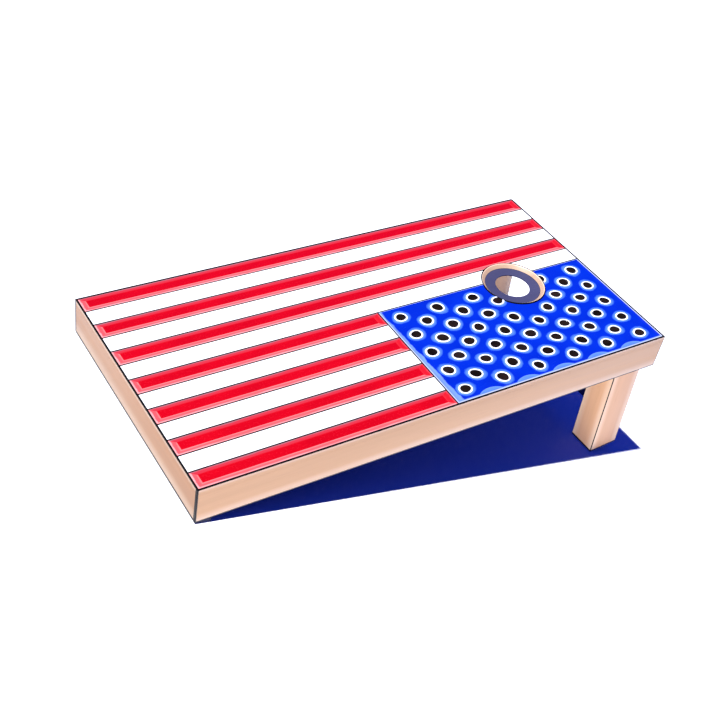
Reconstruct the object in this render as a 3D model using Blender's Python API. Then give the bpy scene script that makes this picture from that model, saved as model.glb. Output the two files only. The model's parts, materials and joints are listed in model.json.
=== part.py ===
"""Cornhole board: a tilted flag-striped deck on a mitred frame with a folding leg frame.

Lengths are metres.  The board frame has u along the deck from its low end, v across it from the
near side to the far side (0 at the middle) and w up from the bottom edge of the side rails.
The board frame is tilted so that the low end stands on its pads and the high end on the legs.
The leg frame is drawn square to the deck and then splayed outward about its hinge.
"""
import math

import bmesh
import bpy
from mathutils import Matrix, Vector

# ---- driving dimensions -------------------------------------------------------------------
BOARD_LENGTH = 1.2192
BOARD_WIDTH = 0.6096
TILT = math.radians(14.0)
GAP = 0.0003

RAIL_DEPTH = 0.076
RAIL_THICK = 0.018
MITRE_BACKOFF = 0.00022
BASE_THICK = 0.009
SLAT_THICK = 0.006
BAND_THICK = 0.002
EDGE_SOFTEN = 0.0010

FIELD_MARGIN = 0.0048
GROOVE = 0.0032
STRIPES = 13
CANTON_STRIPES = 7
SPLIT_STRIPE = 7
CANTON_START = 0.6110
TROUGH_DEPTH = 0.0024
TROUGH_RIM = 0.0008
TROUGH_NEAR_SIDE = 0.0120
TROUGH_FAR_SIDE = 0.0080
TROUGH_END = 0.0140

CANTON_RECESS = 0.0024
CANTON_RIM = 0.0012
CANTON_BEVEL = 0.0080
RING_ROWS = 9
RING_COLUMNS = 11
RING_FIRST_U = 0.6520
RING_PITCH_U = 0.0516
RING_OUTER_R = 0.0172
RING_INNER_R = 0.0124
RING_PIT = 0.0022
RING_SKIP = ((6, 8), (7, 7), (6, 6))

HOLE_FROM_HIGH_END = 0.2286
SEAT_R = 0.0805
COLLAR_OUTER_R = 0.0795
COLLAR_TOP_R = 0.0785
COLLAR_FOOT_R = 0.0685
COLLAR_DEPTH = 0.0085
THROAT_R = 0.0425
THROAT_LIP = 0.0030
THROAT_FOOT_R = 0.0660
LINER_OUTER_R = 0.1000
LINER_THICK = 0.012

LEG_WIDTH = 0.084
LEG_THICK = 0.074
LEG_SPLAY = math.radians(4.5)
LEG_STOP_GAP = 0.0004
HEAD_GAP = 0.0008
WASHER_THICK = 0.0015
WASHER_R = 0.0140
BOLT_R = 0.0050
RUNNING_GAP = 0.00008
BOLT_REACH = 0.0120
INSERT_R = 0.0074
INSERT_LENGTH = 0.0125
KNOB_R = 0.0240
KNOB_LENGTH = 0.022
KNOB_LOBES = 5
CROSS_RAIL_FROM_PIVOT = 0.178
CROSS_RAIL_WIDTH = 0.044
CROSS_RAIL_THICK = 0.022
DOWEL_R = 0.0050
DOWEL_LENGTH = 0.050
PAD_THICK = 0.003
LOW_PAD_LENGTH = 0.034
LOW_PAD_WIDTH = 0.014

BRACE_U = 0.560
BRACE_THICK = 0.018
BLOCK_SIDE = 0.036
KEY_THICK = 0.003
KEY_WIDTH = 0.0140
KEY_LENGTH = 0.056

# ---- levels and positions that follow from them --------------------------------------------
HALF_WIDTH = BOARD_WIDTH / 2
INNER_V = HALF_WIDTH - RAIL_THICK
BASE_BOTTOM = RAIL_DEPTH + GAP
BASE_TOP = RAIL_DEPTH + BASE_THICK
SLAT_BOTTOM = BASE_TOP + GAP
DECK_TOP = RAIL_DEPTH + BASE_THICK + SLAT_THICK
SLAT_PITCH = (BOARD_WIDTH - 2 * FIELD_MARGIN + GROOVE) / STRIPES
SLAT_WIDTH = SLAT_PITCH - GROOVE
FIELD_NEAR = -HALF_WIDTH + FIELD_MARGIN
FIELD_LOW = FIELD_MARGIN
FIELD_HIGH = BOARD_LENGTH - FIELD_MARGIN
CANTON_FAR = FIELD_NEAR + CANTON_STRIPES * SLAT_PITCH - GROOVE
RING_PITCH_V = (CANTON_FAR - FIELD_NEAR) / (RING_ROWS + 1)
HOLE_U = BOARD_LENGTH - HOLE_FROM_HIGH_END
COLLAR_BOTTOM = DECK_TOP - COLLAR_DEPTH
LEG_HALF = LEG_WIDTH / 2
PIVOT_W = RAIL_DEPTH - HEAD_GAP - LEG_HALF
STOP_U = BOARD_LENGTH - RAIL_THICK - LEG_STOP_GAP
PIVOT_U = STOP_U - LEG_HALF / math.cos(LEG_SPLAY) - PIVOT_W * math.tan(LEG_SPLAY)
FOOT_CORNER_U = PIVOT_U - LEG_HALF * math.cos(LEG_SPLAY)
FOOT_CORNER_DROP = PIVOT_W + PAD_THICK - LEG_HALF * math.sin(LEG_SPLAY)
FOOT_REACH = FOOT_CORNER_DROP + FOOT_CORNER_U * math.tan(TILT)
FOOT_REACH /= math.cos(LEG_SPLAY) - math.sin(LEG_SPLAY) * math.tan(TILT)
FOOT_W = PIVOT_W - FOOT_REACH
LEG_OUTER_V = INNER_V - 0.0002 - WASHER_THICK - 0.0002
LEG_INNER_V = LEG_OUTER_V - LEG_THICK
KNOB_FACE_V = LEG_INNER_V - 0.0002 - WASHER_THICK - 0.0002

LOW_X = -DECK_TOP * math.sin(TILT)
TOE_U = PIVOT_U + FOOT_REACH * math.sin(LEG_SPLAY) + LEG_HALF * math.cos(LEG_SPLAY)
TOE_W = PIVOT_W - FOOT_REACH * math.cos(LEG_SPLAY) + LEG_HALF * math.sin(LEG_SPLAY)
HIGH_X = TOE_U * math.cos(TILT) - TOE_W * math.sin(TILT)
ORIGIN_X = -(LOW_X + HIGH_X) / 2
ORIGIN_Z = PAD_THICK * math.cos(TILT)

# ---- colours -------------------------------------------------------------------------------
COLOURS = {
    "red_paint": ((0.72, 0.012, 0.030), 0.35, 0.0),
    "white_paint": ((0.86, 0.86, 0.84), 0.35, 0.0),
    "blue_paint": ((0.010, 0.060, 0.640), 0.32, 0.0),
    "black_paint": ((0.015, 0.013, 0.014), 0.50, 0.0),
    "navy_paint": ((0.006, 0.012, 0.110), 0.45, 0.0),
    "tan_wood": ((0.760, 0.480, 0.340), 0.55, 0.0),
    "birch_ply": ((0.640, 0.470, 0.300), 0.60, 0.0),
    "zinc_steel": ((0.600, 0.610, 0.620), 0.35, 1.0),
    "brass": ((0.720, 0.520, 0.220), 0.35, 1.0),
    "black_plastic": ((0.020, 0.020, 0.022), 0.45, 0.0),
    "navy_rubber": ((0.012, 0.016, 0.070), 0.80, 0.0),
}


def clear_scene():
    """Remove what the start-up scene holds."""
    for item in list(bpy.data.objects):
        bpy.data.objects.remove(item, do_unlink=True)


def material(name):
    """One Principled BSDF material per paint, wood, metal or rubber."""
    found = bpy.data.materials.get(name)
    if found:
        return found
    colour, roughness, metallic = COLOURS[name]
    made = bpy.data.materials.new(name)
    made.use_nodes = True
    shader = made.node_tree.nodes["Principled BSDF"]
    shader.inputs["Base Color"].default_value = (*colour, 1.0)
    shader.inputs["Roughness"].default_value = roughness
    shader.inputs["Metallic"].default_value = metallic
    return made


def empty(name, parent, location):
    """A joint or frame marker."""
    marker = bpy.data.objects.new(name, None)
    marker.empty_display_size = 0.05
    marker.location = location
    marker.parent = parent
    bpy.context.scene.collection.objects.link(marker)
    return marker


def node(name, shape, paint, parent, origin=(0.0, 0.0, 0.0)):
    """Turn a bmesh given in board coordinates into a named node under its parent."""
    bmesh.ops.recalc_face_normals(shape, faces=shape.faces)
    bmesh.ops.translate(shape, verts=shape.verts, vec=-Vector(origin))
    mesh = bpy.data.meshes.new(name)
    shape.to_mesh(mesh)
    shape.free()
    made = bpy.data.objects.new(name, mesh)
    made.parent = parent
    if parent.parent is None:
        made.location = origin
    if paint:
        mesh.materials.append(material(paint))
    bpy.context.scene.collection.objects.link(made)
    return made


def prism(points, direction, start, end):
    """Sweep a closed 2-D outline along one axis (0 = u, 1 = v, 2 = w)."""
    shape = bmesh.new()
    rings = []
    for level in (start, end):
        ring = []
        for first, second in points:
            place = [first, second]
            place.insert(direction, level)
            ring.append(shape.verts.new(place))
        rings.append(ring)
    shape.faces.new(rings[0])
    shape.faces.new(rings[1])
    count = len(points)
    for index in range(count):
        after = (index + 1) % count
        quad = (rings[0][index], rings[0][after], rings[1][after], rings[1][index])
        shape.faces.new(quad)
    return shape


def box(low, high):
    """A plain block between two corners."""
    outline = [(low[0], low[1]), (high[0], low[1]), (high[0], high[1]), (low[0], high[1])]
    return prism(outline, 2, low[2], high[2])


def soften(shape, width=EDGE_SOFTEN):
    """Break the sharp edges with a small chamfer."""
    bmesh.ops.recalc_face_normals(shape, faces=shape.faces)
    sharp = [edge for edge in shape.edges if edge.calc_face_angle(0.0) > math.radians(30)]
    bmesh.ops.bevel(shape, geom=sharp, offset=width, segments=1, affect="EDGES", profile=0.5)
    return shape


def circle(radius, count, centre=(0.0, 0.0), phase=0.0):
    """Points of a circle."""
    points = []
    for index in range(count):
        angle = phase + 2 * math.pi * index / count
        points.append((centre[0] + radius * math.cos(angle), centre[1] + radius * math.sin(angle)))
    return points


def lathe(profile, axis, centre, count):
    """Turn a closed (radius, level) outline into a ring about u, v or w."""
    shape = bmesh.new()
    loops = []
    for index in range(count):
        angle = 2 * math.pi * index / count
        loop = []
        for radius, level in profile:
            place = [centre[0] + radius * math.cos(angle), centre[1] + radius * math.sin(angle)]
            place.insert(axis, level)
            loop.append(shape.verts.new(place))
        loops.append(loop)
    size = len(profile)
    for index in range(count):
        here = loops[index]
        there = loops[(index + 1) % count]
        for step in range(size):
            after = (step + 1) % size
            shape.faces.new((here[step], here[after], there[after], there[step]))
    return shape


def merge(shapes):
    """Gather separate solids in one bmesh, for a cutter."""
    total = bmesh.new()
    for shape in shapes:
        mesh = bpy.data.meshes.new("piece")
        bmesh.ops.recalc_face_normals(shape, faces=shape.faces)
        shape.to_mesh(mesh)
        shape.free()
        total.from_mesh(mesh)
        bpy.data.meshes.remove(mesh)
    return total


def boolean(target, shape, operation, name, parent, origin=(0.0, 0.0, 0.0)):
    """Cut or join a hidden tool solid, kept as a live modifier."""
    tool = node(name, shape, None, parent, origin)
    tool.hide_render = True
    tool.display_type = "WIRE"
    change = target.modifiers.new(name, "BOOLEAN")
    change.operation = operation
    change.solver = "EXACT"
    change.object = tool
    return tool


def reuse(target, tool, operation="DIFFERENCE"):
    """Apply a tool that another node already uses."""
    change = target.modifiers.new(tool.name, "BOOLEAN")
    change.operation = operation
    change.solver = "EXACT"
    change.object = tool


# ---- deck ----------------------------------------------------------------------------------
def seat_cutter():
    """The round seat that the hole collar fills, through the whole deck."""
    circle_points = circle(SEAT_R, 64, (HOLE_U, 0.0))
    return prism(circle_points, 2, RAIL_DEPTH - 0.01, DECK_TOP + 0.01)


def build_deck_base(board):
    """Plywood sheet that carries the slats and the star panel."""
    inset = BAND_THICK + GAP
    low = (inset, -HALF_WIDTH + inset, BASE_BOTTOM)
    high = (BOARD_LENGTH - inset, HALF_WIDTH - inset, BASE_TOP)
    deck = node("deck_base", box(low, high), "black_paint", board)
    seat = boolean(deck, seat_cutter(), "DIFFERENCE", "cut_hole_seat", board)
    return seat


def stripe_span(index):
    """Low and high u, near and far v of one stripe, counted from the near side."""
    near = FIELD_NEAR + index * SLAT_PITCH
    high = FIELD_HIGH if index >= CANTON_STRIPES else CANTON_START - GROOVE
    return FIELD_LOW, high, near, near + SLAT_WIDTH


def dished_block(low, high, rim, sides, end, depth):
    """A block whose top has a flat rim and a sunk field; sides are the near and far slopes."""
    shape = bmesh.new()
    top = high[2]
    levels = (
        (0.0, 0.0, 0.0, low[2]),
        (0.0, 0.0, 0.0, top),
        (rim, rim, rim, top),
        (rim + end, rim + sides[0], rim + sides[1], top - depth),
    )
    loops = []
    for inset_u, inset_near, inset_far, level in levels:
        corners = (
            (low[0] + inset_u, low[1] + inset_near, level),
            (high[0] - inset_u, low[1] + inset_near, level),
            (high[0] - inset_u, high[1] - inset_far, level),
            (low[0] + inset_u, high[1] - inset_far, level),
        )
        loops.append([shape.verts.new(corner) for corner in corners])
    shape.faces.new(loops[0])
    shape.faces.new(loops[-1])
    for lower, upper in zip(loops, loops[1:]):
        for index in range(4):
            after = (index + 1) % 4
            shape.faces.new((lower[index], lower[after], upper[after], upper[index]))
    return shape


def stripe_piece(name, index, u_span, board):
    """One slat: dished and red, or flat and white."""
    u_low, u_high = u_span
    v_near = FIELD_NEAR + index * SLAT_PITCH
    low = (u_low, v_near, SLAT_BOTTOM)
    high = (u_high, v_near + SLAT_WIDTH, DECK_TOP)
    if index % 2 == 0:
        sides = (TROUGH_NEAR_SIDE, TROUGH_FAR_SIDE)
        shape = dished_block(low, high, TROUGH_RIM, sides, TROUGH_END, TROUGH_DEPTH)
        return node(name, shape, "red_paint", board)
    return node(name, soften(box(low, high), 0.0006), "white_paint", board)


def build_stripes(board, seat):
    """Seven dished red slats and six flat white ones; the hole parts one white slat in two."""
    for index in range(STRIPES):
        u_low, u_high, v_near, v_far = stripe_span(index)
        colour = "red" if index % 2 == 0 else "white"
        name = f"{colour}_stripe_{index // 2 + 1}"
        if index == SPLIT_STRIPE:
            for part, span in (("low", (u_low, HOLE_U)), ("high", (HOLE_U, u_high))):
                reuse(stripe_piece(f"{name}_{part}", index, span, board), seat)
            continue
        slat = stripe_piece(name, index, (u_low, u_high), board)
        if index > CANTON_STRIPES and v_near < SEAT_R:
            reuse(slat, seat)


def ring_centres():
    """Centres of the star rings: six and five to a row, less those the hole removes."""
    centres = []
    for row in range(RING_ROWS):
        v = FIELD_NEAR + (row + 1) * RING_PITCH_V
        for column in range(row % 2, RING_COLUMNS, 2):
            if (column, row) in RING_SKIP:
                continue
            centres.append((RING_FIRST_U + column * RING_PITCH_U, v))
    return centres


def build_canton(board, seat):
    """Blue star panel: a sunk field with a raised ring for each star."""
    low = (CANTON_START, FIELD_NEAR, SLAT_BOTTOM)
    high = (FIELD_HIGH, CANTON_FAR, DECK_TOP)
    sides = (CANTON_BEVEL, CANTON_BEVEL)
    shape = dished_block(low, high, CANTON_RIM, sides, CANTON_BEVEL, CANTON_RECESS)
    panel = node("star_panel", shape, "blue_paint", board)
    rings = []
    pits = []
    for centre in ring_centres():
        outer = circle(RING_OUTER_R, 18, centre)
        inner = circle(RING_INNER_R, 12, centre)
        rings.append(prism(outer, 2, SLAT_BOTTOM + 0.0015, DECK_TOP))
        pits.append(prism(inner, 2, DECK_TOP - RING_PIT, DECK_TOP + 0.002))
    boolean(panel, merge(rings), "UNION", "add_star_rings", board)
    boolean(panel, merge(pits), "DIFFERENCE", "cut_star_pits", board)
    reuse(panel, seat)


def build_collar(board):
    """Bevelled bare-wood collar on a painted ring whose narrower bore flares out below."""
    collar_profile = (
        (COLLAR_OUTER_R, COLLAR_BOTTOM),
        (COLLAR_OUTER_R, DECK_TOP),
        (COLLAR_TOP_R, DECK_TOP),
        (COLLAR_FOOT_R, COLLAR_BOTTOM),
    )
    node("hole_collar", lathe(collar_profile, 2, (HOLE_U, 0.0), 64), "tan_wood", board)
    liner_profile = (
        (LINER_OUTER_R, RAIL_DEPTH - LINER_THICK),
        (LINER_OUTER_R, RAIL_DEPTH),
        (COLLAR_OUTER_R, RAIL_DEPTH),
        (COLLAR_OUTER_R, COLLAR_BOTTOM - GAP),
        (THROAT_R, COLLAR_BOTTOM - GAP),
        (THROAT_R, COLLAR_BOTTOM - GAP - THROAT_LIP),
        (THROAT_FOOT_R, RAIL_DEPTH - LINER_THICK),
    )
    node("hole_backing_ring", lathe(liner_profile, 2, (HOLE_U, 0.0), 64), "navy_paint", board)


def mitred(name, end, thick, low_w, high_w, paint, board, width=0.0):
    """One of four mitred pieces round the board: near, far, low or high."""
    back = MITRE_BACKOFF
    if end in ("near", "far"):
        side = -1 if end == "near" else 1
        outline = [
            (back, side * HALF_WIDTH),
            (BOARD_LENGTH - back, side * HALF_WIDTH),
            (BOARD_LENGTH - thick - back, side * (HALF_WIDTH - thick)),
            (thick + back, side * (HALF_WIDTH - thick)),
        ]
    else:
        outer = 0.0 if end == "low" else BOARD_LENGTH
        inner = thick if end == "low" else BOARD_LENGTH - thick
        outline = [
            (outer, -HALF_WIDTH + back),
            (outer, HALF_WIDTH - back),
            (inner, HALF_WIDTH - thick - back),
            (inner, -HALF_WIDTH + thick + back),
        ]
    shape = prism(outline, 2, low_w, high_w)
    if width:
        soften(shape, width)
    return node(name, shape, paint, board)


def build_edge_bands(board):
    """Thin wood strips that cover the edges of the base and the slats."""
    for end in ("near", "far", "low", "high"):
        mitred(f"edge_band_{end}", end, BAND_THICK, BASE_BOTTOM, DECK_TOP, "tan_wood", board)


# ---- frame ---------------------------------------------------------------------------------
def key_box(u_side, v_side, margin):
    """The feather key of one mitre, or its slot when margin is above zero."""
    u = RAIL_THICK / 2 if u_side < 0 else BOARD_LENGTH - RAIL_THICK / 2
    v = v_side * (HALF_WIDTH - RAIL_THICK / 2)
    half = (KEY_WIDTH / 2 + margin, KEY_THICK / 2 + margin, KEY_LENGTH / 2 + margin)
    shape = box((-half[0], -half[1], -half[2]), half)
    turn = math.radians(-45 if u_side * v_side > 0 else 45)
    bmesh.ops.transform(shape, matrix=Matrix.Rotation(turn, 4, "Z"), verts=shape.verts)
    bmesh.ops.translate(shape, verts=shape.verts, vec=(u, v, RAIL_DEPTH / 2))
    return shape


def build_frame(board):
    """Four mitred rails with a feather key in each mitre."""
    rails = {}
    for end in ("near", "far"):
        name = f"side_rail_{end}"
        rails[end] = mitred(name, end, RAIL_THICK, 0.0, RAIL_DEPTH, "tan_wood", board)
    for end in ("low", "high"):
        name = f"end_rail_{end}"
        rails[end] = mitred(name, end, RAIL_THICK, 0.0, RAIL_DEPTH, "tan_wood", board)
    corners = (("low", -1), ("high", 1))
    for u_name, u_side in corners:
        for v_name, v_side in (("near", -1), ("far", 1)):
            label = f"{u_name}_{v_name}"
            node(f"mitre_key_{label}", key_box(u_side, v_side, 0.0), "birch_ply", board)
            slot = key_box(u_side, v_side, GAP)
            tool = boolean(rails[u_name], slot, "DIFFERENCE", f"cut_key_{label}", board)
            reuse(rails[v_name], tool)
    return rails


def build_bracing(board):
    """Cross brace under the deck and glue blocks in the low corners."""
    low = (BRACE_U, -INNER_V + GAP, 0.012)
    high = (BRACE_U + BRACE_THICK, INNER_V - GAP, RAIL_DEPTH - GAP)
    node("cross_brace", soften(box(low, high)), "navy_paint", board)
    for name, side in (("near", -1), ("far", 1)):
        corner_u = RAIL_THICK + GAP
        corner_v = side * (INNER_V - GAP)
        cut = BLOCK_SIDE * 0.6
        outline = [
            (corner_u, corner_v),
            (corner_u + BLOCK_SIDE, corner_v),
            (corner_u + BLOCK_SIDE, corner_v - side * (BLOCK_SIDE - cut)),
            (corner_u + BLOCK_SIDE - cut, corner_v - side * BLOCK_SIDE),
            (corner_u, corner_v - side * BLOCK_SIDE),
        ]
        shape = prism(outline, 2, 0.004, RAIL_DEPTH - GAP)
        node(f"corner_block_{name}", shape, "navy_paint", board)


def build_low_pads(board):
    """Wedge-shaped rubber pads, flat on the ground, under the low ends of the side rails."""
    slope = math.tan(TILT)
    for name, side in (("near", -1), ("far", 1)):
        start = 0.003
        end = start + LOW_PAD_LENGTH
        outline = [
            (start, -0.0001),
            (end, -0.0001),
            (end, -PAD_THICK - end * slope),
            (start, -PAD_THICK - start * slope),
        ]
        middle = side * (HALF_WIDTH - RAIL_THICK / 2)
        shape = prism(outline, 1, middle - LOW_PAD_WIDTH / 2, middle + LOW_PAD_WIDTH / 2)
        node(f"low_pad_{name}", shape, "navy_rubber", board)


# ---- leg frame -----------------------------------------------------------------------------
def pivot(v):
    """A point on the leg hinge axis."""
    return (PIVOT_U, v, PIVOT_W)


def rod(radius, v_start, v_end, count=24):
    """A round bar along the hinge axis."""
    return prism(circle(radius, count, (PIVOT_U, PIVOT_W)), 1, v_start, v_end)


def leg_outline():
    """Square foot below, half-round head about the pivot above."""
    half = LEG_HALF
    points = [(PIVOT_U - half, FOOT_W + PAD_THICK + GAP), (PIVOT_U + half, FOOT_W + PAD_THICK + GAP)]
    steps = 18
    for index in range(steps + 1):
        angle = math.pi * index / steps
        points.append((PIVOT_U + half * math.cos(angle), PIVOT_W + half * math.sin(angle)))
    return points


def dowel_drops():
    """Distances below the pivot of the two dowels in each end of the leg rail."""
    quarter = CROSS_RAIL_WIDTH / 4
    middle = CROSS_RAIL_FROM_PIVOT + CROSS_RAIL_WIDTH / 2
    return middle - quarter, middle + quarter


def dowel(side, drop, margin):
    """A blind dowel across the joint of rail and leg, or its hole when margin is above zero."""
    joint = side * LEG_INNER_V
    half = DOWEL_LENGTH / 2 + margin
    points = circle(DOWEL_R + margin, 16, (PIVOT_U, PIVOT_W - drop))
    return prism(points, 1, joint - half, joint + half)


def build_leg(name, side, hinge):
    """One leg with its pivot bore and dowel holes, and the pad under it."""
    outer = side * LEG_OUTER_V
    inner = side * LEG_INNER_V
    at = pivot(0.0)
    leg = node(f"leg_{name}", prism(leg_outline(), 1, outer, inner), "tan_wood", hinge, at)
    bore = rod(BOLT_R + RUNNING_GAP, outer + side * 0.01, inner - side * 0.01)
    boolean(leg, bore, "DIFFERENCE", f"cut_leg_bore_{name}", hinge, at)
    holes = []
    for index, drop in enumerate(dowel_drops()):
        holes.append(dowel(side, drop, 0.0002))
        name_and_number = f"rail_dowel_{name}_{index + 1}"
        node(name_and_number, dowel(side, drop, 0.0), "birch_ply", hinge, at)
    tool = boolean(leg, merge(holes), "DIFFERENCE", f"cut_dowel_holes_{name}", hinge, at)
    low = (PIVOT_U - LEG_HALF, min(outer, inner), FOOT_W)
    high = (PIVOT_U + LEG_HALF, max(outer, inner), FOOT_W + PAD_THICK)
    node(f"foot_pad_{name}", box(low, high), "navy_rubber", hinge, at)
    return tool


def build_leg_frame(hinge):
    """Two legs joined by a rail."""
    near_holes = build_leg("near", -1, hinge)
    far_holes = build_leg("far", 1, hinge)
    half = CROSS_RAIL_THICK / 2
    bottom = PIVOT_W - CROSS_RAIL_FROM_PIVOT - CROSS_RAIL_WIDTH
    low = (PIVOT_U - half, -LEG_INNER_V + GAP, bottom)
    high = (PIVOT_U + half, LEG_INNER_V - GAP, bottom + CROSS_RAIL_WIDTH)
    rail = node("leg_rail", soften(box(low, high)), "navy_paint", hinge, pivot(0.0))
    reuse(rail, near_holes)
    reuse(rail, far_holes)


# ---- pivots --------------------------------------------------------------------------------
def washer(name, v_start, v_end, parent, origin):
    """A plain washer on the pivot bolt."""
    inner = BOLT_R + 0.0002
    profile = ((inner, v_start), (WASHER_R, v_start), (WASHER_R, v_end), (inner, v_end))
    shape = lathe(profile, 1, (PIVOT_U, PIVOT_W), 24)
    node(name, shape, "zinc_steel", parent, origin)


def knob_outline():
    """Five rounded lobes."""
    points = []
    count = KNOB_LOBES * 8
    for index in range(count):
        angle = 2 * math.pi * index / count
        radius = KNOB_R - 0.0038 * (1 - math.cos(KNOB_LOBES * angle)) / 1.4
        points.append((PIVOT_U + radius * math.cos(angle), PIVOT_W + radius * math.sin(angle)))
    return points


def build_pivot(name, side, board, rail, marker, knob_marker):
    """Insert in the rail, pivot bolt through the leg and clamping knob inside."""
    start = side * INNER_V
    depth = start + side * INSERT_LENGTH
    inner = BOLT_R + RUNNING_GAP
    profile = ((inner, start), (INSERT_R, start), (INSERT_R, depth), (inner, depth))
    shape = lathe(profile, 1, (PIVOT_U, PIVOT_W), 24)
    node(f"threaded_insert_{name}", shape, "brass", board, pivot(0.0))
    hole = rod(INSERT_R + 0.0002, start - side * 0.005, depth + side * 0.0003)
    boolean(rail, hole, "DIFFERENCE", f"cut_insert_{name}", board)
    outer_face = side * (INNER_V - 0.0002)
    washer(f"spacer_washer_{name}", outer_face, outer_face - side * WASHER_THICK, board, pivot(0.0))
    inner_face = side * (LEG_INNER_V - 0.0002)
    end = inner_face - side * WASHER_THICK
    washer(f"knob_washer_{name}", inner_face, end, marker, pivot(0.0))
    knob_start = side * KNOB_FACE_V
    knob_end = knob_start - side * KNOB_LENGTH
    bolt_start = side * (INNER_V + BOLT_REACH)
    bolt_end = knob_end + side * 0.005
    bolt = rod(BOLT_R, bolt_start, bolt_end)
    node(f"pivot_bolt_{name}", soften(bolt, 0.0008), "zinc_steel", knob_marker, pivot(0.0))
    knob = soften(prism(knob_outline(), 1, knob_start, knob_end), 0.0016)
    made = node(f"star_knob_{name}", knob, "black_plastic", knob_marker, pivot(0.0))
    socket = rod(BOLT_R + 0.0001, knob_start + side * 0.005, bolt_end - side * 0.0003)
    boolean(made, socket, "DIFFERENCE", f"cut_knob_{name}", knob_marker, pivot(0.0))


def build():
    """Assemble the board at rest on level ground."""
    clear_scene()
    board = empty("board_frame", None, (ORIGIN_X, 0.0, ORIGIN_Z))
    board.rotation_euler = (0.0, -TILT, 0.0)
    hinge = empty("leg_hinge", board, pivot(0.0))
    hinge.rotation_euler = (0.0, -LEG_SPLAY, 0.0)
    seat = build_deck_base(board)
    build_stripes(board, seat)
    build_canton(board, seat)
    build_collar(board)
    build_edge_bands(board)
    rails = build_frame(board)
    build_bracing(board)
    build_low_pads(board)
    build_leg_frame(hinge)
    for name, side in (("near", -1), ("far", 1)):
        clamp = empty(f"clamp_axis_{name}", board, pivot(0.0))
        turn = empty(f"knob_axis_{name}", clamp, (0.0, 0.0, 0.0))
        build_pivot(name, side, board, rails[name], clamp, turn)
    bpy.context.view_layer.update()


build()
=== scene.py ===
import json
import math

import bmesh
import bpy
from mathutils import Matrix, Vector


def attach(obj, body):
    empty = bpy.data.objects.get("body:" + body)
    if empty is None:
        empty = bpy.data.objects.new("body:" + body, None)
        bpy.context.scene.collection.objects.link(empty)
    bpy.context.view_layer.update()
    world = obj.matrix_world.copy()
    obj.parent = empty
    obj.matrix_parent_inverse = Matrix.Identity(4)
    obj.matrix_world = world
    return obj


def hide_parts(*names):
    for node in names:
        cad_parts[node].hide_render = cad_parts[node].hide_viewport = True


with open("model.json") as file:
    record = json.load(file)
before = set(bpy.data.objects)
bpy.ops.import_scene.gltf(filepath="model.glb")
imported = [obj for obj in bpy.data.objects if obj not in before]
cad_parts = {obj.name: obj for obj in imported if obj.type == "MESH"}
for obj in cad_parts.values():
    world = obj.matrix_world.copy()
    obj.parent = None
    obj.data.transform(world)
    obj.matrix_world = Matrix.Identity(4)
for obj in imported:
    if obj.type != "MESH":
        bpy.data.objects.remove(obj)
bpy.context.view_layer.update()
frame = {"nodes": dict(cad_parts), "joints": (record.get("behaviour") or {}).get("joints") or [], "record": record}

# ---- sizes, metres ----------------------------------------------------------------------------
# slats: softened arris, rim and slopes of the dished red ones
SOFT = 0.0004
TROUGH_RIM = 0.0008
TROUGH_NEAR_SIDE = 0.0120
TROUGH_FAR_SIDE = 0.0080
TROUGH_END = 0.0140
TROUGH_DEPTH = 0.0024
# star panel: borders, staggered rings with their haloes, and caps along the near border
CANTON_RIM = 0.0012
CANTON_BEVEL = 0.0080
RING_ROWS = 9
RING_COLUMNS = 11
RING_FIRST_U = 0.6520
RING_PITCH_U = 0.0516
RING_SKIP = ((6, 8), (7, 7), (6, 6))
RING_CUT = ((8, 8), (5, 7))
HALO_R = 0.0258
# The halo sits off centre towards the high far side, so its painted highlight is wider there.
HALO_SHIFT = (0.0018, 0.0014)
STAR_R = 0.0168
PIT_R = 0.0130
RING_ALONG = 1.03
RING_ACROSS = 0.90
RING_LEAST = 0.95
RING_SPREAD = 0.10
CROWN_LIFT = 0.0002
PAINT_LIFT = 0.00003
SKIRT_DEPTH = 0.0008
MOUND_CHORD = 0.0380
MOUND_HEIGHT = 0.0150
# hole: seat of the collar in the deck, collar and backing ring
SEAT_R = 0.0805
COLLAR_FOOT_R = 0.0685
THROAT_R = 0.0425
THROAT_LIP = 0.0030
THROAT_FOOT_R = 0.0660
HOLE_SIDES = 128
# frame, legs and pivots
MITRE_BACKOFF = 0.00022
LEG_SPLAY = math.radians(4.5)
BOLT_R = 0.0050
BORE_R = BOLT_R + 0.0002
# surfaces: depth of the ripple in paint, softness of a painted line's border
RIPPLE_DEPTH = 0.00006
LINE_SOFT = 0.0003

# ---- light and view ---------------------------------------------------------------------------
KEY_LEAN = math.radians(28)
KEY_ENERGY = 6.9
FILL_ENERGY = 2.0
FILL_TRAVEL = (0.95, 0.30, 0.02)
SUN_WIDTH = math.radians(1.6)
SURROUND = (0.008, 0.025, 0.34, 1.0)
CAMERA_PLACE = (-0.72068, -1.27149, 1.61507)
CAMERA_RIGHT = Vector((0.84067, -0.51944, 0.15315))
CAMERA_DOWN = Vector((-0.24560, -0.61774, -0.74705))
CAMERA_AHEAD = Vector((0.48265, 0.59041, -0.64689))
LENS_MM = 57.7


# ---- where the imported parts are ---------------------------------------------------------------
def mount_axis(name):
    """Direction of a named mount."""
    for mount in frame["record"]["mounts"]:
        if mount["name"] == name:
            return Vector(mount["axis"])
    raise ValueError(name)


def joint_place(name):
    """A point on a named joint's axis."""
    for joint in frame["joints"]:
        if joint["name"] == name:
            return Vector(joint["pos_m"])
    raise ValueError(name)


def span(node, placing):
    """Lowest and highest corner of a CAD node, in the axes of placing."""
    back = placing.inverted()
    places = [back @ vertex.co for vertex in frame["nodes"][node].data.vertices]
    low = Vector([min(place[axis] for place in places) for axis in range(3)])
    high = Vector([max(place[axis] for place in places) for axis in range(3)])
    return low, high


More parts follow.
